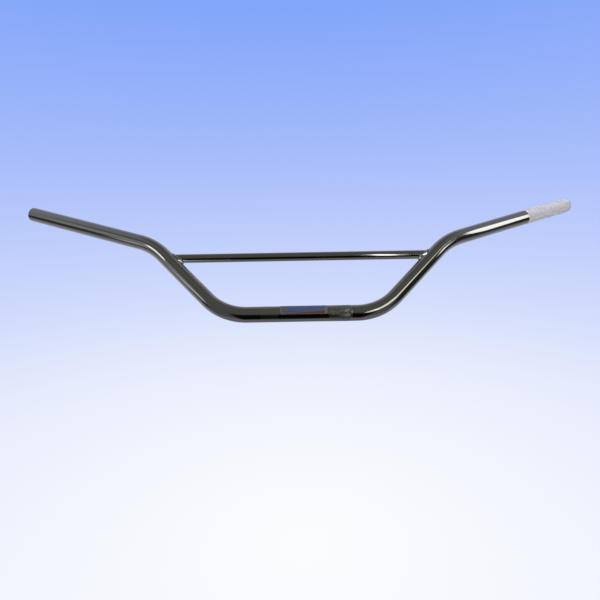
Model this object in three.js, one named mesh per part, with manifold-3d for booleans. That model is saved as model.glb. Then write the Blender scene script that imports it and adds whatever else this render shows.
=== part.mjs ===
// Braced motorcycle handlebar: one bent steel tube, a crossbar welded between its two risers, and a label.
// Millimetres, +Z up. The origin is the middle of the tube's axis where the handlebar clamp holds it.
// +X points to the rider's left, +Y back to the rider. The bar is symmetric about the plane X = 0.

import * as THREE from 'three';
import { mergeVertices } from 'three/addons/utils/BufferGeometryUtils.js';
import Module from 'manifold-3d';

const degrees = THREE.MathUtils.degToRad;

// The bent tube. Its centre, both lower bends and both risers lie in one plane, the riser plane.
const TUBE_DIAMETER = 22;
const TUBE_WALL = 2;
const CENTRE_HALF_LENGTH = 75;      // straight tube each side of the middle
const LOWER_BEND_RADIUS = 76;       // to the tube's axis
const RISER_ANGLE = degrees(47);    // riser above the centre tube, in the riser plane
const RISER_LENGTH = 102;
const UPPER_BEND_RADIUS = 106;      // to the tube's axis
const GRIP_RISE = degrees(22.3);    // grip above the centre tube's direction, in the riser plane's frame
const GRIP_SWEEP = degrees(9.6);    // grip swept back out of the riser plane
const GRIP_LENGTH = 210;
const LEAN_BACK = degrees(40);      // riser plane leant back from the vertical, as clamped for riding

// The crossbar, a thinner tube with saddle-cut ends.
const CROSSBAR_DIAMETER = 12.7;
const CROSSBAR_WALL = 1.5;
const CROSSBAR_ALONG_RISER = 0.92;  // share of the straight riser below the crossbar's axis
const VENT_DIAMETER = 3;            // drain hole for the plating bath, drilled under each end
const VENT_FROM_RISER = 17.5;       // along the crossbar, from the riser's axis to the hole

// The weld beads around the crossbar's ends.
const BEAD_RADIUS = 4.2;

// The label wrapped on the middle of the tube.
const LABEL_FROM = -29;
const LABEL_TO = 34.5;
const LABEL_WIDTH = 27;             // round the tube
const LABEL_THICKNESS = 0.3;
const LABEL_LOWER_EDGE = degrees(28);  // below the riser plane's forward direction

const FIT_GAP = 0.3;                // between pieces that are welded or glued together

// Facets.
const TUBE_SIDES = 32;
const CROSSBAR_SIDES = 24;
const VENT_SIDES = 16;
const LABEL_SIDES = 16;
const LOWER_BEND_STEPS = 8;
const UPPER_BEND_STEPS = 5;
const BEAD_SECTION_SIDES = 12;
const BEAD_RING_SIDES = 36;

const tubeRadius = TUBE_DIAMETER / 2;
const crossbarRadius = CROSSBAR_DIAMETER / 2;

const centreDirection = new THREE.Vector3(1, 0, 0);
const riserDirection = new THREE.Vector3(Math.cos(RISER_ANGLE), 0, Math.sin(RISER_ANGLE));
const gripDirection = new THREE.Vector3(
  Math.cos(GRIP_RISE) * Math.cos(GRIP_SWEEP),
  Math.cos(GRIP_RISE) * Math.sin(GRIP_SWEEP),
  Math.sin(GRIP_RISE),
);

// Points of a bend that starts at a point, turns from one direction to another and stays tangent to both.
function bendPoints(start, from, to, radius, steps) {
  const angle = from.angleTo(to);
  const inward = to.clone().addScaledVector(from, -from.dot(to)).normalize();
  const points = [];
  for (let step = 1; step <= steps; step += 1) {
    const turned = (angle * step) / steps;
    points.push(start.clone()
      .addScaledVector(from, radius * Math.sin(turned))
      .addScaledVector(inward, radius * (1 - Math.cos(turned))));
  }
  return points;
}

// Stations along the tube's axis from the middle to the left grip's end, with the axis direction at each.
function halfAxis() {
  const points = [new THREE.Vector3(0, 0, 0)];
  const last = () => points[points.length - 1];
  points.push(last().clone().addScaledVector(centreDirection, CENTRE_HALF_LENGTH));
  points.push(...bendPoints(last(), centreDirection, riserDirection, LOWER_BEND_RADIUS, LOWER_BEND_STEPS));
  const riserStart = last().clone();
  points.push(last().clone().addScaledVector(riserDirection, RISER_LENGTH));
  points.push(...bendPoints(last(), riserDirection, gripDirection, UPPER_BEND_RADIUS, UPPER_BEND_STEPS));
  points.push(last().clone().addScaledVector(gripDirection, GRIP_LENGTH));
  return { points, riserStart };
}

const { points: leftAxis, riserStart } = halfAxis();
const mirrored = (point) => new THREE.Vector3(-point.x, point.y, point.z);
const rightAxis = leftAxis.slice(1).map(mirrored);

// A curve through given stations. Its parameter steps evenly from station to station, whatever their spacing.
class StationCurve extends THREE.Curve {
  constructor(stations) {
    super();
    this.stations = stations;
  }

  getUtoTmapping(share) {
    return share;
  }

  getPoint(share, target = new THREE.Vector3()) {
    const place = share * (this.stations.length - 1);
    const index = Math.min(Math.floor(place), this.stations.length - 2);
    return target.lerpVectors(this.stations[index], this.stations[index + 1], place - index);
  }

  // The mean of the directions on both sides of a station, so that each section sits square in its mitre.
  getTangent(share, target = new THREE.Vector3()) {
    const index = Math.round(share * (this.stations.length - 1));
    const before = this.stations[Math.max(index - 1, 0)];
    const here = this.stations[index];
    const after = this.stations[Math.min(index + 1, this.stations.length - 1)];
    const arriving = here.clone().sub(before).normalize();
    const leaving = after.clone().sub(here).normalize();
    return target.copy(arriving.add(leaving)).normalize();
  }
}

// A round section, with a bore through it when boreRadius is above zero.
function roundSection(radius, boreRadius) {
  const section = new THREE.Shape();
  section.absarc(0, 0, radius, 0, 2 * Math.PI, false);
  if (boreRadius > 0) {
    const bore = new THREE.Path();
    bore.absarc(0, 0, boreRadius, 0, 2 * Math.PI, true);
    section.holes.push(bore);
  }
  return section;
}

// The section carried along the stations.
function tubeAlong(stations, radius, boreRadius, sides) {
  return new THREE.ExtrudeGeometry(roundSection(radius, boreRadius), {
    steps: stations.length - 1,
    extrudePath: new StationCurve(stations),
    curveSegments: sides / 2,
  });
}

// Joining and cutting.
const wasm = await Module();
wasm.setup();

function toSolid(geometry) {
  const bare = geometry.index ? geometry.toNonIndexed() : geometry.clone();
  bare.deleteAttribute('normal');
  bare.deleteAttribute('uv');
  const merged = mergeVertices(bare, 1e-4);
  return new wasm.Manifold(new wasm.Mesh({
    numProp: 3,
    vertProperties: Float32Array.from(merged.attributes.position.array),
    triVerts: Uint32Array.from(merged.index.array),
  }));
}

function toGeometry(solid) {
  const mesh = solid.getMesh();
  const geometry = new THREE.BufferGeometry();
  geometry.setAttribute('position', new THREE.BufferAttribute(Float32Array.from(mesh.vertProperties), 3));
  geometry.setIndex(new THREE.BufferAttribute(Uint32Array.from(mesh.triVerts), 1));
  geometry.computeVertexNormals();
  return geometry;
}

const bar = new THREE.Group();
bar.rotation.x = -LEAN_BACK;

function addPiece(name, geometry, material) {
  const piece = new THREE.Mesh(geometry, material);
  piece.name = name;
  bar.add(piece);
  return piece;
}

const chrome = new THREE.MeshStandardMaterial({ color: 0x8d8f92, roughness: 0.08, metalness: 1 });
const platedWeld = new THREE.MeshStandardMaterial({ color: 0x84868a, roughness: 0.16, metalness: 1 });
const labelFilm = new THREE.MeshStandardMaterial({ color: 0x43526f, roughness: 0.35, metalness: 0 });

// Main tube, open at both ends.
const wholeAxis = [...rightAxis].reverse().concat(leftAxis);
addPiece('main_tube', tubeAlong(wholeAxis, tubeRadius, tubeRadius - TUBE_WALL, TUBE_SIDES), chrome);

// What the crossbar and the beads are cut back from: both sides of the bent tube, a gap wider.
const riserClearance = toSolid(tubeAlong(leftAxis.slice(1), tubeRadius + FIT_GAP, 0, TUBE_SIDES))
  .add(toSolid(tubeAlong(rightAxis, tubeRadius + FIT_GAP, 0, TUBE_SIDES)));

// Crossbar.
const crossbarHeight = riserStart.z + RISER_LENGTH * CROSSBAR_ALONG_RISER * riserDirection.z;
const crossbarReach = riserStart.x + RISER_LENGTH * CROSSBAR_ALONG_RISER * riserDirection.x;

function alongCrossbar(fromX, toX, radius, boreRadius) {
  const stations = [fromX, toX].map((x) => new THREE.Vector3(x, 0, crossbarHeight));
  return toSolid(tubeAlong(stations, radius, boreRadius, CROSSBAR_SIDES));
}

function ventHole(side) {
  const drill = new THREE.CylinderGeometry(
    VENT_DIAMETER / 2, VENT_DIAMETER / 2, crossbarRadius, VENT_SIDES,
  );
  drill.rotateX(Math.PI / 2);
  drill.translate(side * (crossbarReach - VENT_FROM_RISER), 0, crossbarHeight - crossbarRadius);
  return toSolid(drill);
}

const crossbarSolid = alongCrossbar(
  -crossbarReach, crossbarReach, crossbarRadius, crossbarRadius - CROSSBAR_WALL,
).subtract(riserClearance).subtract(ventHole(1)).subtract(ventHole(-1));
addPiece('crossbar', toGeometry(crossbarSolid), chrome);

// Weld beads. Each starts as a ring of round section on the line where the crossbar meets the riser.
function saddleRing() {
  const ring = new THREE.TorusGeometry(crossbarRadius, BEAD_RADIUS, BEAD_SECTION_SIDES, BEAD_RING_SIDES);
  ring.rotateY(Math.PI / 2);
  const position = ring.attributes.position;
  for (let index = 0; index < position.count; index += 1) {
    const across = position.getY(index);
    const up = position.getZ(index);
    const reach = Math.hypot(across, up);
    const acrossOnLine = (across / reach) * crossbarRadius;
    const upOnLine = (up / reach) * crossbarRadius;
    const intoRiser = Math.sqrt(tubeRadius ** 2 - acrossOnLine ** 2);
    const saddle = (upOnLine * riserDirection.x - intoRiser) / riserDirection.z;
    position.setX(index, position.getX(index) + crossbarReach + saddle);
  }
  ring.translate(0, 0, crossbarHeight);
  return toSolid(ring);
}

const crossbarClearance = alongCrossbar(-crossbarReach, crossbarReach, crossbarRadius + FIT_GAP, 0);
const leftBead = saddleRing().subtract(crossbarClearance).subtract(riserClearance);
addPiece('weld_bead_left', toGeometry(leftBead), platedWeld);
addPiece('weld_bead_right', toGeometry(leftBead.mirror([1, 0, 0])), platedWeld);

// Label: a thin curved plate on the front and top of the tube.
function labelGeometry() {
  const inner = tubeRadius + FIT_GAP;
  const outer = inner + LABEL_THICKNESS;
  const start = Math.PI + LABEL_LOWER_EDGE;
  const end = start - LABEL_WIDTH / tubeRadius;
  const section = new THREE.Shape();
  section.absarc(0, 0, outer, start, end, true);
  section.absarc(0, 0, inner, end, start, false);
  section.closePath();
  const plate = new THREE.ExtrudeGeometry(section, {
    depth: LABEL_TO - LABEL_FROM,
    bevelEnabled: false,
    curveSegments: LABEL_SIDES,
  });
  // The section's x and y become +Y and +Z, and its depth becomes +X.
  plate.applyMatrix4(new THREE.Matrix4().makeBasis(
    new THREE.Vector3(0, 1, 0), new THREE.Vector3(0, 0, 1), new THREE.Vector3(1, 0, 0),
  ));
  plate.translate(LABEL_FROM, 0, 0);
  return plate;
}

addPiece('centre_label', labelGeometry(), labelFilm);

export default bar;
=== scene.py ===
"""Looks for the braced motorcycle handlebar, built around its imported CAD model.

Metres, in the CAD model's frame: the origin is the middle of the clamped tube's axis, +X points to the
rider's left, +Y back to the rider and +Z up. Shapes are worked out in the bar frame, in which both risers
stand upright, and are then leant back as the bar is clamped.
"""

from math import asin, atan2, cos, pi, radians, sin, sqrt, tau

import bmesh
import bpy
from mathutils import Matrix, Vector


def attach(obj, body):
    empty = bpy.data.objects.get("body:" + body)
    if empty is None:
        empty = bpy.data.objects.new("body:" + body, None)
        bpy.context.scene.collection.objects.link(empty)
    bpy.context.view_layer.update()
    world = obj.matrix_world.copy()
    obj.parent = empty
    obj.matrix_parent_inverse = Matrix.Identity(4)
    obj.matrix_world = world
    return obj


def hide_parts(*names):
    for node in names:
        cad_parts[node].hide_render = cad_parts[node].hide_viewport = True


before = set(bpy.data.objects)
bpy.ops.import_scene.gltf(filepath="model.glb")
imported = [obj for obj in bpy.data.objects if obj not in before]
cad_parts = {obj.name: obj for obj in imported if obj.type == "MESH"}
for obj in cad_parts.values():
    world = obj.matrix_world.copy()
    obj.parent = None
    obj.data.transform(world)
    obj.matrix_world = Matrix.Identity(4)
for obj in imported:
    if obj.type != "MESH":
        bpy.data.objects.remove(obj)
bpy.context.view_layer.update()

# The bent tube, with the driving dimensions of the CAD model.
TUBE_RADIUS = 0.011
BORE_RADIUS = 0.009
CENTRE_HALF_LENGTH = 0.075
LOWER_BEND_RADIUS = 0.076
RISER_ANGLE = radians(47)
RISER_LENGTH = 0.102
UPPER_BEND_RADIUS = 0.106
GRIP_RISE = radians(22.3)
GRIP_SWEEP = radians(9.6)
GRIP_LENGTH = 0.210
LEAN_BACK = radians(40)
END_ROUNDING = 0.0006
BEND_STEP = radians(1.5)

# The knurls rolled into the tube: diamonds with flat tips, in bands measured along the axis from the middle.
DIAMONDS_ROUND = 60
DIAMOND_LENGTH = 0.0020
DIAMOND_TIP = 0.34  # share of a diamond that its flat tip takes
TIP_SHARE = 0.3  # share of a knurl's depth that stands above the tube; the rest is cut into it
KNURL_RUN_OUT = 0.0012  # distance over which the diamonds fade out at a band's ends
RIGHT_CLAMP_KNURL = (-0.056, -0.0315, 0.000004, 0.000035)  # from, to, and the depth at each of them
LEFT_CLAMP_KNURL = (0.036, 0.0665, 0.00006, 0.00011)
GRIP_KNURL_LENGTH = 0.0865
GRIP_KNURL_DEPTH = 0.00036
GRIP_KNURL_MARGIN = 0.001  # plain rim between the knurl and the tube's end
RIDGE_HEIGHT = 0.0002  # lip raised by the knurling roll where the deepest clamp knurl ends
RIDGE_WIDTH = 0.0016
SUPPORT = 0.0005  # distance from a knurl or an end to the plain ring that keeps the tube beside it straight

# The crossbar.
CROSSBAR_RADIUS = 0.00635
CROSSBAR_BORE_RADIUS = 0.00485
CROSSBAR_ALONG_RISER = 0.92
CROSSBAR_SIDES = 96
VENT_RADIUS = 0.0015
VENT_FROM_RISER = 0.0175
VENT_CELLS = 12  # sides of the crossbar that the patch round a vent replaces
PATCH_FIRST_RING = 4  # ring of the crossbar, from either end, at which that patch starts
VENT_ROUNDING = 0.0002
SINK = 0.0002  # how far welded ends reach under the surface that they are welded to

# The weld beads.
BEAD_LEG = 0.0042  # in the sharp corner under the crossbar
BEAD_TOP_LEG = 0.0028  # in the wide corner above it
BEAD_CROWN = 0.0005
BEAD_RIPPLES = 22
BEAD_RIPPLE_HEIGHT = 0.00022
BEAD_RIPPLE_BOW = 0.45  # how far each ripple bows in the middle of the bead, in ripples
BEAD_STEPS_PER_RIPPLE = 10
BEAD_ARC_STEPS = 14

# The label on the middle of the tube.
LABEL_FROM = -0.029
LABEL_TO = 0.0345
LABEL_WIDTH = 0.027
LABEL_LOWER_EDGE = radians(28)
LABEL_LIFT = 0.00003
LABEL_THICKNESS = 0.00012
LABEL_CORNER = 0.0022
LABEL_COLUMNS = 48
LABEL_ROWS = 36

LEAN = Matrix.Rotation(-LEAN_BACK, 4, "X")
TUBE_SIDES = 2 * DIAMONDS_ROUND
BORE_SIDES = TUBE_SIDES // 3
PLAIN_ZONE, CLAMP_ZONE, GRIP_ZONE, BORE_ZONE = range(4)  # material slots of the tube

centre_direction = Vector((1, 0, 0))
riser_direction = Vector((cos(RISER_ANGLE), 0, sin(RISER_ANGLE)))
grip_direction = Vector((cos(GRIP_RISE) * cos(GRIP_SWEEP), cos(GRIP_RISE) * sin(GRIP_SWEEP), sin(GRIP_RISE)))


# ---------------------------------------------------------------- meshes


class Shape:
    """Points, faces and per-point values of a piece, in the bar frame, collected before its mesh is made."""

    def __init__(self):
        self.points = []
        self.values = {"wear": [], "groove": []}
        self.faces = []
        self.zones = []

    def point(self, place, wear=0.0, groove=0.0):
        self.points.append(place)
        self.values["wear"].append(wear)
        self.values["groove"].append(groove)
        return len(self.points) - 1

    def face(self, corners, zone=0):
        self.faces.append(corners)
        self.zones.append(zone)

    def band(self, ring, next_ring, zone=0):
        """Faces between two rings. next_ring may have a whole number of times fewer points than ring."""
        ratio = len(ring) // len(next_ring)
        for index in range(len(next_ring)):
            after = (index + 1) % len(next_ring)
            outer = [ring[(index * ratio + step) % len(ring)] for step in range(ratio + 1)]
            self.face([*outer, next_ring[after], next_ring[index]], zone)

    def mesh_object(self, name, sharp_angle, mirrored=False):
        """The piece as an object in the row frame. Edges that turn by more than sharp_angle are creased."""
        mesh = bpy.data.meshes.new(name)
        mesh.from_pydata(self.points, [], self.faces)
        for value, numbers in self.values.items():
            attribute = mesh.attributes.new(value, "FLOAT", "POINT")
            attribute.data.foreach_set("value", numbers)
        mesh.polygons.foreach_set("material_index", self.zones)
        if mirrored:
            mesh.transform(Matrix.Diagonal((-1, 1, 1, 1)))
        mesh.transform(LEAN)
        tidy = bmesh.new()
        tidy.from_mesh(mesh)
        bmesh.ops.recalc_face_normals(tidy, faces=tidy.faces)
        tidy.to_mesh(mesh)
        tidy.free()
        mesh.polygons.foreach_set("use_smooth", [True] * len(mesh.polygons))
        mesh.set_sharp_from_angle(angle=sharp_angle)
        piece = bpy.data.objects.new(name, mesh)
        bpy.context.scene.collection.objects.link(piece)
        return piece


# ---------------------------------------------------------------- the bent tube's axis


def bend(start, before, after, radius):
    """(length, place) of a bend, where place(distance) gives the point and direction on it."""
    angle = before.angle(after)
    inward = (after - before * before.dot(after)).normalized()

    def place(distance):
        turned = distance / radius
        point = start + before * radius * sin(turned) + inward * radius * (1 - cos(turned))
        return point, before * cos(turned) + inward * sin(turned)

    return angle * radius, place


def straight(start, direction, length):
    return length, lambda distance: (start + direction * distance, direction)


def half_axis():
    """The axis from the middle to the left end, as (length, place) sections."""
    sections = [straight(Vector(), centre_direction, CENTRE_HALF_LENGTH)]

    def end():
        length, place = sections[-1]
        return place(length)[0]

    sections.append(bend(end(), centre_direction, riser_direction, LOWER_BEND_RADIUS))
    sections.append(straight(end(), riser_direction, RISER_LENGTH))
    sections.append(bend(end(), riser_direction, grip_direction, UPPER_BEND_RADIUS))
    sections.append(straight(end(), grip_direction, GRIP_LENGTH))
    return sections


axis_sections = half_axis()
half_length = sum(length for length, _ in axis_sections)
riser_start = axis_sections[2][1](0)[0]


def on_axis(distance):
    """Point and direction at a distance along the axis from the middle, left positive."""
    left = abs(distance)
    for length, place in axis_sections:
        if left <= length + 1e-9:
            break
        left -= length
    point, direction = place(min(left, length))
    if distance >= 0:
        return point, direction
    mirrored_point = Vector((-point.x, point.y, point.z))
    return mirrored_point, Vector((direction.x, -direction.y, -direction.z))


def knurl_bands():
    """(from, to, first depth, last depth, zone) of each knurled band, from the right end to the left."""
    grip_start, grip_end = half_length - GRIP_KNURL_LENGTH, half_length - GRIP_KNURL_MARGIN
    return [
        (*RIGHT_CLAMP_KNURL, CLAMP_ZONE),
        (*LEFT_CLAMP_KNURL, CLAMP_ZONE),
        (grip_start, grip_end, GRIP_KNURL_DEPTH, GRIP_KNURL_DEPTH, GRIP_ZONE),
    ]


def bend_stations():
    """Distances at which the tube needs a ring because it starts, turns or ends there."""
    stations = [0.0]
    start = 0.0
    for index, (length, _) in enumerate(axis_sections):
        bent = index in (1, 3)
        radius = LOWER_BEND_RADIUS if index == 1 else UPPER_BEND_RADIUS
        if bent:
            steps = round(length / radius / BEND_STEP)
            stations += [start + length * step / steps for step in range(1, steps + 1)]
        else:
            stations += [start + SUPPORT * 2, start + length - SUPPORT * 2, start + length]
        start += length
    stations[-1] -= END_ROUNDING
    return sorted({-station for station in stations} | set(stations))


def ring_frames(stations):
    """The two directions square to the axis at each station, carried along the tube without twist."""
    frames = {}
    for side in (1, -1):
        ordered = sorted((s for s in stations if s * side >= 0), key=abs)
        up = Vector((0, 0, 1))
        direction = centre_direction
        for station in ordered:
            next_direction = on_axis(station)[1]
            up = direction.rotation_difference(next_direction) @ up
            direction = next_direction
            frames[station] = (up.copy(), direction.cross(up))
    return frames


# ---------------------------------------------------------------- pieces


def make_tube():
    shape = Shape()
    bands = knurl_bands()
    rows_of = {}
    for start, end, *_ in bands:
        rows = 2 * round((end - start) / DIAMOND_LENGTH)
        rows_of[start] = [start + (end - start) * row / rows for row in range(rows + 1)]
    ridge_end = LEFT_CLAMP_KNURL[1]
    ridge_rows = {ridge_end + RIDGE_WIDTH * step / 6: sin(pi * step / 6) for step in range(1, 7)}

    plain = bend_stations() + list(ridge_rows)
    plain += [start - SUPPORT for start, *_ in bands] + [end + SUPPORT for _, end, *_ in bands[:1]]
    plain.append(ridge_end + RIDGE_WIDTH + SUPPORT)
    plain = sorted({
        station for station in plain
        if not any(start - 1e-6 < station < end + 1e-6 for start, end, *_ in bands)
    })
    stations = sorted(set(plain) | {row for rows in rows_of.values() for row in rows})
    frames = ring_frames(sorted(set(stations) | set(bend_stations())))

    def at(station, turn, radius):
        point = on_axis(station)[0]
        up, across = frames[station]
        return point + (up * cos(turn) + across * sin(turn)) * radius

    def ring(station, radius, sides=TUBE_SIDES, wear=0.0, ahead=0.0):
        push = on_axis(station)[1] * ahead
        return [shape.point(at(station, tau * i / sides, radius) + push, wear) for i in range(sides)]

    def knurl(rows, first_depth, last_depth, zone):
        """The diamonds of one band. Returns its first and last rings."""
        first, last = ring(rows[0], TUBE_RADIUS), ring(rows[-1], TUBE_RADIUS)
        step = rows[1] - rows[0]
        end_row = len(rows) - 1

        def depth(row):
            full = first_depth + (last_depth - first_depth) * row / end_row
            return full * min(1.0, min(row, end_row - row) * step / KNURL_RUN_OUT)

        corners = {}
        for row in range(1, end_row):
            radius = TUBE_RADIUS - depth(row) * (1 - TIP_SHARE)
            for i in range(row % 2, TUBE_SIDES, 2):
                place = at(rows[row], tau * i / TUBE_SIDES, radius)
                corners[row, i] = shape.point(place, groove=depth(row) / GRIP_KNURL_DEPTH)
        for i in range(TUBE_SIDES):
            corners[0, i] = first[i]
            corners[end_row, i] = last[i]

        def corner(row, i):
            return corners[row, i % TUBE_SIDES]

        for row in range(1, end_row):
            radius = TUBE_RADIUS + depth(row) * TIP_SHARE
            along = on_axis(rows[row])[1] * step * DIAMOND_TIP
            for i in range((row + 1) % 2, TUBE_SIDES, 2):
                turn, half_tip = tau * i / TUBE_SIDES, tau / TUBE_SIDES * DIAMOND_TIP
                middle = at(rows[row], turn, radius)
                tips = [
                    shape.point(at(rows[row], turn - half_tip, radius)),
                    shape.point(middle + along),
                    shape.point(at(rows[row], turn + half_tip, radius)),
                    shape.point(middle - along),
                ]
                around = [corner(row, i - 1), corner(row + 1, i), corner(row, i + 1), corner(row - 1, i)]
                shape.face(tips, zone)
                for side in range(4):
                    after = (side + 1) % 4
                    shape.face([around[side], around[after], tips[after], tips[side]], zone)
        for row, beside in ((0, 1), (end_row, end_row - 1)):
            for i in range((row + 1) % 2, TUBE_SIDES, 2):
                shape.face([corner(row, i - 1), corner(row, i), corner(row, i + 1), corner(beside, i)], zone)
        return first, last

    # The outside, from the right end to the left.
    band_rings = {start: knurl(rows_of[start], *rest) for start, _, *rest in bands}
    band_insides = {row for rows in rows_of.values() for row in rows[1:]}
    outside = []
    for station in stations:
        if station in band_rings:
            outside.append(band_rings[station])
        elif station not in band_insides:
            radius = TUBE_RADIUS + RIDGE_HEIGHT * ridge_rows.get(station, 0.0)
            outside.append(2 * (ring(station, radius, wear=ridge_rows.get(station, 0.0)),))
    for (_, leaving), (entering, _) in zip(outside, outside[1:]):
        shape.band(leaving, entering)

    # Rounded ends, then the bore.
    def end_rings(side):
        station = side * (half_length - END_ROUNDING)
        rings = []
        for step in range(1, 5):
            turned = pi / 2 * step / 4
            radius = TUBE_RADIUS - END_ROUNDING * (1 - cos(turned))
            rings.append(ring(station, radius, wear=1.0, ahead=side * END_ROUNDING * sin(turned)))
        bore_edge = BORE_RADIUS + END_ROUNDING / 2
        rings.append(ring(station, bore_edge, BORE_SIDES, wear=1.0, ahead=side * END_ROUNDING))
        rings.append(ring(station, BORE_RADIUS, BORE_SIDES, wear=0.6, ahead=side * END_ROUNDING / 2))
        return rings

    left_rings, right_rings = end_rings(1), end_rings(-1)
    for chain in ([outside[-1][1], *left_rings], [outside[0][0], *right_rings]):
        for here, following in zip(chain, chain[1:]):
            shape.band(here, following)
    inside = [ring(station, BORE_RADIUS, BORE_SIDES) for station in bend_stations()[1:-1]]
    chain = [right_rings[-1], *inside, left_rings[-1]]
    for here, following in zip(chain, chain[1:]):
        shape.band(here, following, BORE_ZONE)
    return shape.mesh_object("bent_tube", radians(16))


crossbar_height = riser_start.z + RISER_LENGTH * CROSSBAR_ALONG_RISER * riser_direction.z
crossbar_reach = riser_start.x + RISER_LENGTH * CROSSBAR_ALONG_RISER * riser_direction.x


def saddle(across, up, riser_radius=TUBE_RADIUS):
    """X at which a line along the left half of the crossbar meets the riser's surface."""
    into_riser = sqrt(riser_radius**2 - across**2)
    return crossbar_reach + (up * riser_direction.x - into_riser) / riser_direction.z


def make_crossbar():
    shape = Shape()
    sides = CROSSBAR_SIDES
    cell = tau * CROSSBAR_RADIUS / sides
    vent_x = crossbar_reach - VENT_FROM_RISER
    half_patch = VENT_CELLS // 2
    patch_columns = [vent_x + cell * step for step in range(-half_patch, half_patch + 1)]

    def on_skin(x, turn, radius):
        """turn is measured from straight down, where the vents are."""
        return Vector((x, radius * sin(turn), crossbar_height - radius * cos(turn)))

    def skin(radius):
        """One skin of the crossbar, with a square opening round each vent. Returns its rings by column."""
        columns = []
        for share in (0.0, 0.5, 1.0):
            columns.append([patch_columns[0] * share] * sides)
        columns += [[x] * sides for x in patch_columns[1:]]
        last = patch_columns[-1]
        for share in (0.25, 0.5, 0.75, 1.0):
            ends = []
            for i in range(sides):
                turn = tau * i / sides
                end = saddle(radius * sin(turn), -radius * cos(turn), TUBE_RADIUS - SINK)
                ends.append(last + (end - last) * share)
            columns.append(ends)
        mirrored = [[-x for x in column] for column in reversed(columns[1:])]
        rings = []
        for column in mirrored + columns:
            rings.append([
                shape.point(on_skin(x, tau * i / sides, radius)) for i, x in enumerate(column)
            ])
        return rings

    def in_patch(ring_index, i):
        """True where a face of the skin lies in the opening round a vent."""
        from_middle = min(i, sides - 1 - i)
        count = len(outer_rings) - 1
        columns = range(PATCH_FIRST_RING, PATCH_FIRST_RING + VENT_CELLS)
        return from_middle < half_patch and (ring_index in columns or count - 1 - ring_index in columns)

    def skin_faces(rings, zone):
        for index, (here, following) in enumerate(zip(rings, rings[1:])):
            for i in range(sides):
                if not in_patch(index, i):
                    after = (i + 1) % sides
                    shape.face([here[i], here[after], following[after], following[i]], zone)

    def opening(rings, first_ring):
        """The points round the opening, in order, starting at the corner with the lowest X and turn."""
        columns = rings[first_ring : first_ring + VENT_CELLS + 1]
        low, high = -half_patch, half_patch
        loop = [columns[step][low] for step in range(VENT_CELLS)]
        loop += [columns[-1][step] for step in range(low, high)]
        loop += [columns[VENT_CELLS - step][high] for step in range(VENT_CELLS)]
        loop += [columns[0][high - step] for step in range(VENT_CELLS)]
        return loop

    def vent(centre_x, first_ring):
        """Fills the opening in both skins with rings that close in on the vent, and lines the vent."""

        def bearings(rings):
            places = [shape.points[index] for index in opening(rings, first_ring)]
            return [atan2(place.y, place.x - centre_x) for place in places]

        def loop_at(radius, surface, wear, depth=0.0):
            loop = []
            for bearing in outer_bearings:
                across = radius * sin(bearing)
                up = sqrt(surface**2 - across**2) - depth
                place = Vector((centre_x + radius * cos(bearing), across, crossbar_height - up))
                loop.append(shape.point(place, wear))
            return loop

        def blend(loop, radius, surface, share, wear):
            """A ring between the square opening and the round vent."""
            made = []
            for index, bearing in zip(loop, outer_bearings):
                square = shape.points[index]
                turn = atan2(square.y, crossbar_height - square.z)
                vent_turn = asin(radius * sin(bearing) / surface)
                x = square.x + (centre_x + radius * cos(bearing) - square.x) * share
                made.append(shape.point(on_skin(x, turn + (vent_turn - turn) * share, surface), wear))
            return made

        outer_loop = opening(outer_rings, first_ring)
        inner_loop = opening(inner_rings, first_ring)
        outer_bearings = bearings(outer_rings)
        rim = VENT_RADIUS + VENT_ROUNDING
        chain = [outer_loop]
        chain += [blend(outer_loop, rim, CROSSBAR_RADIUS, share, 0.0) for share in (0.35, 0.7)]
        chain.append(loop_at(rim, CROSSBAR_RADIUS, 0.3))
        for step in range(1, 4):
            turned = pi / 2 * step / 3
            radius = rim - VENT_ROUNDING * sin(turned)
            chain.append(loop_at(radius, CROSSBAR_RADIUS, 1.0, VENT_ROUNDING * (1 - cos(turned))))
        chain.append(loop_at(VENT_RADIUS, CROSSBAR_BORE_RADIUS, 1.0))
        chain.append(blend(inner_loop, VENT_RADIUS, CROSSBAR_BORE_RADIUS, 0.5, 0.0))
        chain.append(inner_loop)
        for here, following in zip(chain, chain[1:]):
            shape.band(here, following)

    outer_rings = skin(CROSSBAR_RADIUS)
    inner_rings = skin(CROSSBAR_BORE_RADIUS)
    skin_faces(outer_rings, 0)
    skin_faces(inner_rings, 1)
    shape.band(outer_rings[0], inner_rings[0])
    shape.band(outer_rings[-1], inner_rings[-1])
    vent(-vent_x, PATCH_FIRST_RING)
    vent(vent_x, len(outer_rings) - 1 - PATCH_FIRST_RING - VENT_CELLS)
    return shape.mesh_object("cross_brace", radians(30))


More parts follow.
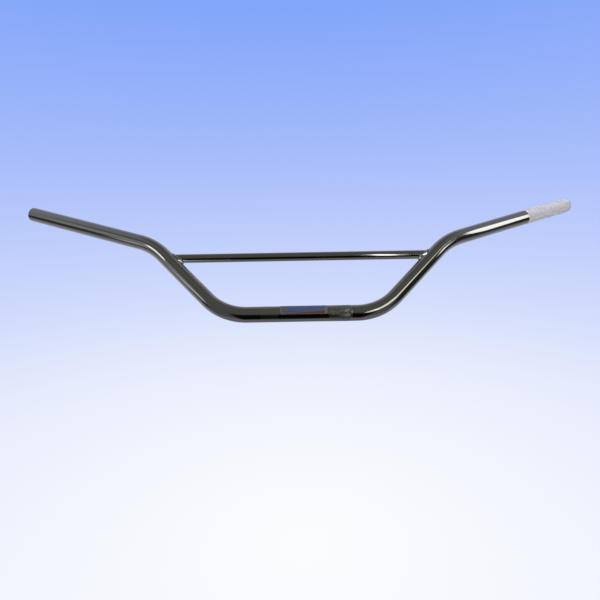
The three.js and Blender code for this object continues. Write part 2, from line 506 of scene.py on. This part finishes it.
def make_bead(name, mirrored):
    """A rippled fillet bead round one end of the crossbar."""
    shape = Shape()
    steps = BEAD_RIPPLES * BEAD_STEPS_PER_RIPPLE

    def line(turn):
        """Where the crossbar's surface meets the riser's."""
        across, up = CROSSBAR_RADIUS * sin(turn), -CROSSBAR_RADIUS * cos(turn)
        return Vector((saddle(across, up), across, crossbar_height + up))

    def onto_crossbar(place):
        spoke = Vector((0, place.y, place.z - crossbar_height)).normalized() * (CROSSBAR_RADIUS - SINK)
        return Vector((place.x, spoke.y, crossbar_height + spoke.z))

    def onto_riser(place):
        foot = riser_start + riser_direction * (place - riser_start).dot(riser_direction)
        return foot + (place - foot).normalized() * (TUBE_RADIUS - SINK)

    rings = []
    for step in range(steps):
        turn = tau * step / steps
        root = line(turn)
        forward = (line(turn + 0.01) - line(turn - 0.01)).normalized()
        crossbar_normal = (root - Vector((root.x, 0, crossbar_height))).normalized()
        foot = riser_start + riser_direction * (root - riser_start).dot(riser_direction)
        riser_normal = (root - foot).normalized()
        along_crossbar = crossbar_normal.cross(forward).normalized()
        if along_crossbar.x > 0:
            along_crossbar.negate()
        along_riser = riser_normal.cross(forward).normalized()
        if along_riser.dot(crossbar_normal) < 0:
            along_riser.negate()
        leg = BEAD_TOP_LEG + (BEAD_LEG - BEAD_TOP_LEG) * (1 + cos(turn)) / 2
        crossbar_toe = onto_crossbar(root + along_crossbar * leg)
        riser_toe = onto_riser(root + along_riser * leg)
        ring = []
        for arc in range(BEAD_ARC_STEPS + 1):
            share = arc / BEAD_ARC_STEPS
            swell = sin(pi * share)
            chord = crossbar_toe.lerp(riser_toe, share) - root
            phase = BEAD_RIPPLES * turn / tau + BEAD_RIPPLE_BOW * swell
            ripple = abs(sin(pi * phase))
            rise = BEAD_CROWN * swell**0.8 + BEAD_RIPPLE_HEIGHT * (ripple - 0.5) * swell**0.5
            place = root + chord + chord.normalized() * rise
            ring.append(shape.point(place, groove=(1 - ripple) * swell))
        under = root - (crossbar_toe + riser_toe - root * 2) * 0.25
        ring.append(shape.point(under))
        rings.append(ring)
    for here, following in zip(rings, rings[1:] + rings[:1]):
        shape.band(here, following)
    return shape.mesh_object(name, radians(50), mirrored)


def make_label():
    """A thin film with rounded corners, wrapped over the front and top of the tube."""
    shape = Shape()
    start = pi + LABEL_LOWER_EDGE
    length = LABEL_TO - LABEL_FROM
    uv_of = {}

    def layer(radius):
        rows = []
        for row in range(LABEL_ROWS + 1):
            share = row / LABEL_ROWS
            # Rows crowd towards both long edges, so that the corners come out round.
            eased = (1 - cos(pi * share)) / 2
            around = LABEL_WIDTH * eased
            from_edge = min(around, LABEL_WIDTH - around)
            missing = max(0.0, LABEL_CORNER - from_edge)
            inset = LABEL_CORNER - sqrt(LABEL_CORNER**2 - missing**2)
            line = []
            for column in range(LABEL_COLUMNS + 1):
                along = inset + (length - 2 * inset) * column / LABEL_COLUMNS
                turn = start - around / TUBE_RADIUS
                place = Vector((LABEL_FROM + along, radius * cos(turn), radius * sin(turn)))
                index = shape.point(place)
                uv_of[index] = (along / length, eased)
                line.append(index)
            rows.append(line)
        return rows

    def edge(rows):
        loop = rows[0][:-1] + [row[-1] for row in rows[:-1]]
        return loop + rows[-1][:0:-1] + [row[0] for row in rows[:0:-1]]

    lower = layer(TUBE_RADIUS + LABEL_LIFT)
    upper = layer(TUBE_RADIUS + LABEL_LIFT + LABEL_THICKNESS)
    for rows in (lower, upper):
        for here, following in zip(rows, rows[1:]):
            for column in range(LABEL_COLUMNS):
                shape.face([here[column], here[column + 1], following[column + 1], following[column]])
    shape.band(edge(lower), edge(upper))
    piece = shape.mesh_object("printed_label", radians(40))
    layer_uv = piece.data.uv_layers.new(name="print")
    for loop in piece.data.loops:
        layer_uv.data[loop.index].uv = uv_of[loop.vertex_index]
    return piece


# ---------------------------------------------------------------- node helpers


class Nodes:
    """Short calls for building a shader tree."""

    def __init__(self, tree):
        self.tree = tree
        tree.nodes.clear()

    def add(self, kind, **settings):
        node = self.tree.nodes.new(kind)
        for name, value in settings.items():
            setattr(node, name, value)
        return node

    def feed(self, socket, value):
        if isinstance(value, bpy.types.NodeSocket):
            self.tree.links.new(value, socket)
        else:
            socket.default_value = value

    def math(self, operation, *values):
        node = self.add("ShaderNodeMath", operation=operation)
        for socket, value in zip(node.inputs, values):
            self.feed(socket, value)
        return node.outputs[0]

    def ramp(self, value, start, end, low=0.0, high=1.0, smooth=True):
        """low before start, high after end, and a smooth step between them."""
        node = self.add("ShaderNodeMapRange", interpolation_type="SMOOTHSTEP" if smooth else "LINEAR")
        for socket, number in zip(node.inputs, (value, start, end, low, high)):
            self.feed(socket, number)
        return node.outputs[0]

    def between(self, value, low, high, soft, high_soft=None):
        """1 between low and high, 0 outside, with edges as wide as soft on each side."""
        high_soft = high_soft or soft
        rising = self.ramp(value, low - soft, low + soft)
        falling = self.ramp(value, high - high_soft, high + high_soft, 1.0, 0.0)
        return self.math("MULTIPLY", rising, falling)

    def mix(self, share, before, after):
        node = self.add("ShaderNodeMix", data_type="RGBA")
        self.feed(node.inputs[0], share)
        self.feed(node.inputs[6], before)
        self.feed(node.inputs[7], after)
        return node.outputs[2]

    def scaled(self, colour, share):
        """colour times share."""
        return self.mix(share, (0.0, 0.0, 0.0, 1), colour)

    def noise(self, coordinates, scale, detail=2.0, roughness=0.5, stretch=None):
        if stretch:
            mapping = self.add("ShaderNodeMapping")
            self.feed(mapping.inputs["Vector"], coordinates)
            mapping.inputs["Scale"].default_value = stretch
            coordinates = mapping.outputs[0]
        node = self.add("ShaderNodeTexNoise")
        self.feed(node.inputs["Vector"], coordinates)
        self.feed(node.inputs["Scale"], scale)
        self.feed(node.inputs["Detail"], detail)
        self.feed(node.inputs["Roughness"], roughness)
        return node.outputs[0]

    def value_of(self, attribute):
        return self.add("ShaderNodeAttribute", attribute_name=attribute).outputs["Fac"]

    def bump(self, height, distance, normal=None):
        node = self.add("ShaderNodeBump")
        node.inputs["Strength"].default_value = 1.0
        node.inputs["Distance"].default_value = distance
        self.feed(node.inputs["Height"], height)
        if normal:
            self.feed(node.inputs["Normal"], normal)
        return node.outputs[0]


def material(name, settings):
    """A Principled material. Returns it with its tree helper and its shader node."""
    made = bpy.data.materials.new(name)
    made.use_nodes = True
    nodes = Nodes(made.node_tree)
    shader = nodes.add("ShaderNodeBsdfPrincipled")
    output = nodes.add("ShaderNodeOutputMaterial")
    nodes.feed(output.inputs["Surface"], shader.outputs[0])
    for socket, value in settings.items():
        shader.inputs[socket].default_value = value
    return made, nodes, shader


def object_coordinates(nodes):
    return nodes.add("ShaderNodeTexCoord").outputs["Object"]


# ---------------------------------------------------------------- materials

CHROME = (0.60, 0.605, 0.615, 1)
NICKEL = (0.50, 0.47, 0.42, 1)
# Near-black colour of the darker patches in the grip knurl's grooves.
GROOVE_DARK = (0.10, 0.09, 0.08, 1)
CHROME_HAZE = 0.05  # roughness that the cloudy areas add
CHROME_WAVE_DEPTH = 0.000032
HAIRLINE_DEPTH = 0.000004


def chrome_material(name, polish=0.045):
    """Bright chrome with faint haze, hairline scratches and the slight waviness of a drawn, plated tube.

    polish is the roughness of the clean plate.
    """
    made, nodes, shader = material(name, {"Metallic": 1.0})
    here = object_coordinates(nodes)
    cloud = nodes.noise(here, 38.0, 4.0, 0.6)
    hairline = nodes.noise(here, 900.0, 2.0, 0.5, stretch=(0.06, 1.0, 1.0))
    scratch = nodes.ramp(hairline, 0.66, 0.74)
    wear = nodes.value_of("wear")
    rough = nodes.math("MULTIPLY_ADD", nodes.ramp(cloud, 0.42, 0.72), CHROME_HAZE, polish)
    rough = nodes.math("MULTIPLY_ADD", scratch, 0.03, rough)
    rough = nodes.math("MULTIPLY_ADD", wear, 0.16, rough)
    nodes.feed(shader.inputs["Roughness"], rough)
    tarnish = nodes.math("MULTIPLY", wear, 0.55)
    nodes.feed(shader.inputs["Base Color"], nodes.mix(tarnish, CHROME, NICKEL))
    wave = nodes.noise(here, 60.0, 1.0, 0.4)
    waved = nodes.bump(wave, CHROME_WAVE_DEPTH)
    nodes.feed(shader.inputs["Normal"], nodes.bump(hairline, HAIRLINE_DEPTH, normal=waved))
    return made


def clamp_knurl_material():
    """The chrome where the clamp has bitten: the same mirror, frosted and scuffed."""
    made, nodes, shader = material("scuffed_clamp_chrome", {"Metallic": 1.0})
    here = object_coordinates(nodes)
    groove = nodes.value_of("groove")
    grain = nodes.noise(here, 1800.0, 3.0, 0.6)
    rough = nodes.math("MULTIPLY_ADD", groove, 0.30, 0.17)
    nodes.feed(shader.inputs["Roughness"], nodes.math("MULTIPLY_ADD", grain, 0.10, rough))
    # Darker and warmer in the grooves, in patches, the more so the deeper the knurl.
    groove_darkening = nodes.math("MULTIPLY", groove, nodes.ramp(grain, 0.35, 0.65, 0.1, 0.7))
    nodes.feed(shader.inputs["Base Color"], nodes.mix(groove_darkening, CHROME, NICKEL))
    nodes.feed(shader.inputs["Normal"], nodes.bump(grain, 0.000008))
    return made


def grip_knurl_material():
    """The satin, pale grey plate over the deep grip knurl, darker in patches in its grooves."""
    made, nodes, shader = material("satin_grip_knurl", {"Metallic": 0.15})
    here = object_coordinates(nodes)
    groove = nodes.value_of("groove")
    grain = nodes.noise(here, 2600.0, 3.0, 0.6)
    nodes.feed(shader.inputs["Roughness"], nodes.math("MULTIPLY_ADD", grain, 0.2, 0.45))
    # Darker in the deepest grooves, in patches.
    groove_darkening = nodes.math("MULTIPLY", nodes.ramp(groove, 0.55, 1.0), nodes.ramp(grain, 0.35, 0.6, 0.1, 0.4))
    nodes.feed(shader.inputs["Base Color"], nodes.mix(groove_darkening, (0.80, 0.79, 0.86, 1), GROOVE_DARK))
    nodes.feed(shader.inputs["Normal"], nodes.bump(grain, 0.00003))
    return made


def bore_material():
    """The unplated inside of a tube: dull grey steel with rust bloom."""
    made, nodes, shader = material("bare_bore", {"Metallic": 1.0})
    here = object_coordinates(nodes)
    bloom = nodes.ramp(nodes.noise(here, 160.0, 5.0, 0.65), 0.45, 0.68)
    nodes.feed(shader.inputs["Base Color"], nodes.mix(bloom, (0.17, 0.165, 0.16, 1), (0.14, 0.075, 0.04, 1)))
    nodes.feed(shader.inputs["Roughness"], nodes.math("MULTIPLY_ADD", bloom, 0.3, 0.5))
    nodes.feed(shader.inputs["Normal"], nodes.bump(nodes.noise(here, 1200.0, 3.0), 0.00005))
    return made


def weld_material():
    """Chrome over a weld bead, a little duller between the ripples."""
    made, nodes, shader = material("plated_weld", {"Metallic": 1.0})
    here = object_coordinates(nodes)
    groove = nodes.value_of("groove")
    grain = nodes.noise(here, 1500.0, 3.0, 0.55)
    nodes.feed(shader.inputs["Roughness"], nodes.math("MULTIPLY_ADD", groove, 0.16, 0.09))
    nodes.feed(shader.inputs["Base Color"], nodes.mix(nodes.math("MULTIPLY", groove, 0.4), CHROME, NICKEL))
    nodes.feed(shader.inputs["Normal"], nodes.bump(grain, 0.00002))
    return made


def label_material():
    """Printed film: a dull blue field over a red wedge, with a grey margin and a silver border."""
    settings = {"Metallic": 0.0, "Coat Weight": 0.25, "Coat Roughness": 0.2}
    made, nodes, shader = material("printed_film", settings)
    place = nodes.add("ShaderNodeSeparateXYZ")
    nodes.feed(place.inputs[0], nodes.add("ShaderNodeUVMap", uv_map="print").outputs[0])
    along, around = place.outputs[0], place.outputs[1]
    here = object_coordinates(nodes)
    fibre = nodes.noise(here, 2200.0, 3.0, 0.6)

    blue, pale_blue = (0.044, 0.070, 0.150, 1), (0.075, 0.100, 0.170, 1)
    grey, silver = (0.066, 0.078, 0.100, 1), (0.12, 0.115, 0.115, 1)
    red, mauve = (0.085, 0.036, 0.034, 1), (0.095, 0.098, 0.125, 1)

    # A blue field with faint slanted bars.
    slant = nodes.math("MULTIPLY_ADD", around, 0.22, along)
    bars = nodes.math("PINGPONG", nodes.math("MULTIPLY", slant, 9.0), 0.5)
    bar_mask = nodes.math("MULTIPLY", nodes.ramp(bars, 0.20, 0.26), nodes.between(around, 0.42, 0.66, 0.012))
    inside_bars = nodes.math("MULTIPLY", bar_mask, nodes.between(along, 0.22, 0.88, 0.004))
    colour = nodes.mix(inside_bars, blue, pale_blue)

    # A red wedge that grows to the left end of the bar, under a pale pinstripe.
    above_wedge = nodes.math("SUBTRACT", around, nodes.math("MULTIPLY_ADD", along, 0.165, 0.02))
    colour = nodes.mix(nodes.ramp(above_wedge, 0.028, 0.034, 1.0, 0.0), colour, mauve)
    colour = nodes.mix(nodes.ramp(above_wedge, -0.003, 0.003, 1.0, 0.0), colour, red)

    # A grey margin that fades in, and a silver border.
    colour = nodes.mix(nodes.ramp(along, 0.12, 0.20, 1.0, 0.0), colour, grey)
    panel = nodes.math(
        "MULTIPLY", nodes.between(along, 0.02, 0.955, 0.003), nodes.between(around, 0.012, 0.96, 0.003)
    )
    colour = nodes.mix(panel, silver, colour)
    worn = nodes.ramp(nodes.noise(here, 420.0, 5.0, 0.7), 0.60, 0.72, 0.0, 0.35)
    colour = nodes.mix(worn, colour, silver)
    nodes.feed(shader.inputs["Base Color"], colour)
    nodes.feed(shader.inputs["Roughness"], nodes.math("MULTIPLY_ADD", fibre, 0.25, 0.22))
    crease = nodes.bump(nodes.noise(here, 130.0, 2.0), 0.00012)
    nodes.feed(shader.inputs["Normal"], nodes.bump(fibre, 0.00001, normal=crease))
    return made


# ---------------------------------------------------------------- the object

tube_chrome = chrome_material("tube_chrome_plate")
crossbar_chrome = chrome_material("crossbar_chrome_plate", polish=0.06)
bore = bore_material()

tube = make_tube()
for finish in (tube_chrome, clamp_knurl_material(), grip_knurl_material(), bore):
    tube.data.materials.append(finish)
crossbar = make_crossbar()
for finish in (crossbar_chrome, bore):
    crossbar.data.materials.append(finish)
left_bead = make_bead("weld_ring_left", mirrored=False)
right_bead = make_bead("weld_ring_right", mirrored=True)
weld_chrome = weld_material()
for bead in (left_bead, right_bead):
    bead.data.materials.append(weld_chrome)
label = make_label()
label.data.materials.append(label_material())

for piece, node, slot in (
    (tube, "main_tube", "tube_chrome"),
    (crossbar, "crossbar", "crossbar_chrome"),
    (left_bead, "weld_bead_left", "weld_chrome"),
    (right_bead, "weld_bead_right", "weld_chrome"),
    (label, "centre_label", "label_film"),
):
    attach(piece, "root")
    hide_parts(node)


# ---------------------------------------------------------------- studio

FLOOR_Z = -0.36
FLOOR_RADIUS = 1.3
WALL_RADIUS = 2.6
WALL_TOP = 3.2
BOWL_SIDES = 96
BOWL_CURVE_STEPS = 16
FLOOR_WHITE = (0.97, 0.975, 0.99, 1)
SKY_BLUE = (0.20, 0.36, 0.95, 1)
BLUE_PER_METRE_OUT = 0.25  # share of the blue that the backdrop gains with distance from its middle
BLUE_PER_METRE_UP = 0.2


def make_bowl():
    """A round seamless floor and backdrop. The camera sees it; the chrome reflects the room instead."""
    profile = [(FLOOR_RADIUS * 0.6, FLOOR_Z), (FLOOR_RADIUS, FLOOR_Z)]
    curve = WALL_RADIUS - FLOOR_RADIUS
    for step in range(1, BOWL_CURVE_STEPS + 1):
        turned = pi / 2 * step / BOWL_CURVE_STEPS
        profile.append((FLOOR_RADIUS + curve * sin(turned), FLOOR_Z + curve * (1 - cos(turned))))
    profile.append((WALL_RADIUS, WALL_TOP))
    points, faces = [], []
    for radius, height in profile:
        for i in range(BOWL_SIDES):
            turn = tau * i / BOWL_SIDES
            points.append((radius * cos(turn), radius * sin(turn), height))
    for row in range(len(profile) - 1):
        for i in range(BOWL_SIDES):
            after = (i + 1) % BOWL_SIDES
            base = row * BOWL_SIDES
            faces.append((base + i, base + after, base + BOWL_SIDES + after, base + BOWL_SIDES + i))
    faces.append(tuple(reversed(range(BOWL_SIDES))))
    mesh = bpy.data.meshes.new("studio_bowl")
    mesh.from_pydata(points, [], faces)
    mesh.polygons.foreach_set("use_smooth", [True] * len(mesh.polygons))
    bowl = bpy.data.objects.new("studio_bowl", mesh)
    bpy.context.scene.collection.objects.link(bowl)
    bowl.visible_glossy = False
    bowl.visible_diffuse = False
    bowl.visible_shadow = False
    mesh.materials.append(backdrop_material())


def backdrop_material():
    """An even glow that needs no light: white at the middle of the floor, bluer outwards and upwards."""
    settings = {"Base Color": (0, 0, 0, 1), "Specular IOR Level": 0.0, "Emission Strength": 1.0}
    made, nodes, shader = material("backdrop_paint", settings)
    place = nodes.add("ShaderNodeSeparateXYZ")
    nodes.feed(place.inputs[0], object_coordinates(nodes))
    x, y, z = place.outputs
    radius = nodes.math("SQRT", nodes.math("MULTIPLY_ADD", x, x, nodes.math("MULTIPLY", y, y)))
    height = nodes.math("MULTIPLY", nodes.math("SUBTRACT", z, FLOOR_Z), BLUE_PER_METRE_UP)
    share = nodes.math("MINIMUM", nodes.math("MULTIPLY_ADD", radius, BLUE_PER_METRE_OUT, height), 1.0)
    nodes.feed(shader.inputs["Emission Color"], nodes.mix(share, FLOOR_WHITE, SKY_BLUE))
    return made


def make_room_light():
    """What the chrome reflects: a dim room, dark behind the camera, with a pale wall and table beyond."""
    world = bpy.data.worlds.new("room")
    bpy.context.scene.world = world
    world.use_nodes = True
    nodes = Nodes(world.node_tree)
    background = nodes.add("ShaderNodeBackground")
    output = nodes.add("ShaderNodeOutputWorld")
    nodes.feed(output.inputs["Surface"], background.outputs[0])
    direction = nodes.add("ShaderNodeSeparateXYZ")
    nodes.feed(direction.inputs[0], nodes.add("ShaderNodeTexCoord").outputs["Generated"])
    x, y, z = direction.outputs

    # The walls brighten away from the camera and towards the horizon; the table brightens away from it too.
    ceiling, table, shade = (0.090, 0.090, 0.075, 1), (0.165, 0.165, 0.175, 1), (0.95, 0.96, 1.05, 1)
    wall = nodes.scaled(shade, nodes.ramp(z, 0.28, 0.85, 0.48, 0.20, smooth=False))
    upper = nodes.mix(nodes.ramp(y, -0.5, 0.0), ceiling, wall)
    upper = nodes.mix(nodes.ramp(z, 0.85, 0.98), upper, ceiling)
    floor = nodes.scaled(shade, nodes.ramp(y, -0.3, 0.8, 0.09, 0.50, smooth=False))
    lower = nodes.mix(nodes.ramp(z, -0.80, -0.60), table, floor)
    colour = nodes.mix(nodes.ramp(z, -0.15, 0.15), lower, upper)

    # The side walls, as slopes seen from the bar: along is towards the camera, height is up.
    side = nodes.math("MAXIMUM", nodes.math("ABSOLUTE", x), 1e-4)
    along = nodes.math("DIVIDE", nodes.math("MULTIPLY", y, -1.0), side)
    height = nodes.math("DIVIDE", z, side)
    rightward = nodes.math("GREATER_THAN", x, 0.0)
    leftward = nodes.math("LESS_THAN", x, 0.0)

    # The wall behind the camera, the same way.
    back = nodes.math("MAXIMUM", nodes.math("MULTIPLY", y, -1.0), 1e-4)
    across = nodes.math("DIVIDE", x, back)
    rise = nodes.math("DIVIDE", z, back)
    backward = nodes.math("LESS_THAN", y, 0.0)

    # Patches of colour on the walls. Each range is (value, low, high, low softness, high softness).
    for facing, horizontal, vertical, light in (
        (leftward, (along, 0.42, 0.66, 0.06, 0.06), (height, 0.03, 0.62, 0.06, 0.15), (0.24, 0.24, 0.24)),
        (leftward, (along, 0.30, 0.80, 0.12, 0.12), (height, 0.80, 1.05, 0.12, 0.15), (0.075, 0.075, 0.065)),
        (leftward, (along, 0.12, 0.50, 0.10, 0.10), (height, -0.42, -0.04, 0.07, 0.07), (0.03, 0.03, 0.03)),
        (rightward, (along, -0.2, 0.66, 0.17, 0.1), (height, -0.42, 0.48, 0.16, 0.14), (0.02, 0.02, 0.019)),
        (backward, (across, -0.48, 0.55, 0.17, 0.17), (rise, -1.95, 0.20, 0.85, 0.22), (0.003, 0.003, 0.003)),
    ):
        mask = nodes.math("MULTIPLY", nodes.between(*horizontal), nodes.between(*vertical))
        mask = nodes.math("MULTIPLY", mask, facing)
        colour = nodes.mix(mask, colour, (*light, 1))
    nodes.feed(background.inputs["Color"], colour)


def make_card(name, path, half_width, light, soft, aim, rounded=False, shown_on=()):
    """A glowing strip along a path of points, turned to face aim. Only reflections show it.

    soft holds the shares of its half width and half length over which it fades out, or for a rounded
    card, an ellipse, the share of its radius. shown_on limits it to some pieces.
    """
    path, aim = [Vector(point) for point in path], Vector(aim)
    points, reached, length = [], [], 0.0
    for index, point in enumerate(path):
        before, after = path[max(index - 1, 0)], path[min(index + 1, len(path) - 1)]
        forward = (after - before).normalized()
        facing = aim - point
        facing = (facing - forward * facing.dot(forward)).normalized()
        sideways = forward.cross(facing) * half_width
        length += (point - path[max(index - 1, 0)]).length
        points += [point - sideways, point + sideways]
        reached.append(length)
    mesh = bpy.data.meshes.new(name)
    faces = [(2 * i, 2 * i + 1, 2 * i + 3, 2 * i + 2) for i in range(len(path) - 1)]
    mesh.from_pydata(points, [], faces)
    layer = mesh.uv_layers.new(name="strip")
    for loop in mesh.loops:
        row, side = divmod(loop.vertex_index, 2)
        layer.data[loop.index].uv = (side * 2 - 1, reached[row] / length * 2 - 1)
    card = bpy.data.objects.new(name, mesh)
    bpy.context.scene.collection.objects.link(card)
    card.visible_camera = False
    card.visible_diffuse = False
    card.visible_transmission = False
    card.visible_shadow = False
    if shown_on:
        receivers = bpy.data.collections.new(name + "_receivers")
        for piece in shown_on:
            receivers.objects.link(piece)
        card.light_linking.receiver_collection = receivers
    mesh.materials.append(glow_material(name, light, soft, rounded))


def glow_material(name, light, soft, rounded):
    """A glow that fades out towards the card's edges and hides nothing behind it."""
    made = bpy.data.materials.new(name)
    made.use_nodes = True
    nodes = Nodes(made.node_tree)
    place = nodes.add("ShaderNodeSeparateXYZ")
    nodes.feed(place.inputs[0], nodes.add("ShaderNodeUVMap", uv_map="strip").outputs[0])
    wide, long = (nodes.math("ABSOLUTE", socket) for socket in place.outputs[:2])
    if rounded:
        squares = nodes.math("MULTIPLY_ADD", wide, wide, nodes.math("MULTIPLY", long, long))
        mask = nodes.ramp(nodes.math("SQRT", squares), 1 - soft[0], 1.0, 1.0, 0.0)
    else:
        fades = []
        for socket, share in zip((wide, long), soft):
            fades.append(nodes.ramp(socket, 1 - share, 1.0, 1.0, 0.0))
        mask = nodes.math("MULTIPLY", *fades)
    glow, clear = nodes.add("ShaderNodeEmission"), nodes.add("ShaderNodeBsdfTransparent")
    glow.inputs["Color"].default_value = (*light, 1)
    nodes.feed(glow.inputs["Strength"], mask)
    added = nodes.add("ShaderNodeAddShader")
    nodes.feed(added.inputs[0], glow.outputs[0])
    nodes.feed(added.inputs[1], clear.outputs[0])
    output = nodes.add("ShaderNodeOutputMaterial")
    nodes.feed(output.inputs["Surface"], added.outputs[0])
    return made


def seen_from(place, distance, bearings):
    """Points at a distance from a place, by bearing: degrees from the camera's side to +X, degrees up."""
    points = []
    for turn, up in bearings:
        turn, up = radians(turn), radians(up)
        direction = Vector((sin(turn) * cos(up), -cos(turn) * cos(up), sin(up)))
        points.append(Vector(place) + direction * distance)
    return points


def make_cards():
    """The windows and the doorway that draw the bright lines on the chrome, each placed by what shows it."""
    right_riser, left_riser = (0.13, 0.0, 0.035), (-0.16, 0.03, 0.045)
    right_grip, left_bend = (0.289, 0.095, 0.106), (-0.2058, 0.0596, 0.0828)
    middle = (0.0, 0.06, 0.07)

    # The long line on the riser and lower bend in the right of the picture.
    arch = [(16, 16), (21, 14), (26, 15), (33, 20), (38.5, 26), (43.5, 31.4), (47, 36), (48, 40)]
    arch = seen_from(right_riser, 6.0, arch)
    make_card("arched_window", arch, 1.15, (1.05, 1.0, 0.82), (0.25, 0.08), right_riser)

    # The broad band on the grip beside it.
    side = [(72, 2), (67, 9), (63.5, 16), (62.5, 25.7), (65.7, 36.6), (74, 42.5)]
    side = seen_from(right_grip, 0.31, side)
    make_card("side_window", side, 0.073, (1.45, 1.45, 1.40), (0.25, 0.35), right_grip)

    # The lens-shaped glint on the crossbar.
    doorway = [(0.462, -1.91, -0.50), (0.462, -1.91, 1.75)]
    make_card("doorway", doorway, 0.10, (2.0, 2.0, 1.8), (0.60,), middle, rounded=True, shown_on=(crossbar,))

    # The short line on the upper bend and the dim one on the riser in the left of the picture.
    small = seen_from(left_bend, 0.1234, [(-56.8, 28), (-63.4, 10.5)])
    make_card("small_window", small, 0.0165, (1.25, 1.25, 1.20), (0.30, 0.40), left_bend)
    low = seen_from(left_riser, 0.4, [(-54, 4), (-84, -4)])
    make_card("low_left_window", low, 0.055, (0.38, 0.37, 0.31), (0.50, 0.50), left_riser)

    # Two glints on each weld bead.
    for name, bead, half_width, first, last in (
        ("skylight", left_bead, 0.40, (-2, 62), (-4, 86)),
        ("low_pane", left_bead, 0.45, (-42, -14), (-42, 10)),
        ("high_pane", right_bead, 0.22, (42, 32), (42, 52)),
        ("right_pane", right_bead, 0.25, (62, -8), (62, 10)),
    ):
        pane = seen_from(middle, 2.0, [first, last])
        make_card(name, pane, half_width, (3.0, 3.0, 3.0), (0.2, 0.2), middle, shown_on=(bead,))


def make_lights():
    """Broad soft lights overhead and in front, for the grip knurl and the label. Nothing reflects them."""
    for name, place, size, power in (
        ("overhead_softbox", (0.0, 0.0, 2.4), 3.0, 50.0),
        ("front_softbox", (0.3, -1.7, -0.1), 1.6, 22.0),
    ):
        light = bpy.data.lights.new(name, "AREA")
        light.shape = "DISK"
        light.size = size
        light.energy = power
        lamp = bpy.data.objects.new(name, light)
        lamp.location = place
        lamp.rotation_euler = Vector(place).to_track_quat("Z", "Y").to_euler()
        lamp.visible_glossy = False
        bpy.context.scene.collection.objects.link(lamp)


CAMERA_PLACE = (-0.0030, -0.6849, 0.1679)
CAMERA_FORWARD = (0.0011, 0.9773, -0.2119)
CAMERA_RIGHT = (0.9998, -0.0049, -0.0172)
CAMERA_LENS_MM = 30.84
CAMERA_SENSOR_MM = 36.0


def make_camera():
    """The photograph's viewpoint: in front of the bar and a little above it."""
    camera = bpy.data.cameras.new("photo_camera")
    camera.sensor_width = CAMERA_SENSOR_MM
    camera.lens = CAMERA_LENS_MM
    viewer = bpy.data.objects.new("photo_camera", camera)
    forward = Vector(CAMERA_FORWARD).normalized()
    right = Vector(CAMERA_RIGHT)
    up = right.cross(forward).normalized()
    right = forward.cross(up)
    turn = Matrix((right, up, -forward)).transposed()
    viewer.matrix_world = Matrix.Translation(CAMERA_PLACE) @ turn.to_4x4()
    bpy.context.scene.collection.objects.link(viewer)
    bpy.context.scene.camera = viewer


make_bowl()
make_room_light()
make_cards()
make_lights()
make_camera()
bpy.context.scene.view_settings.view_transform = "Standard"
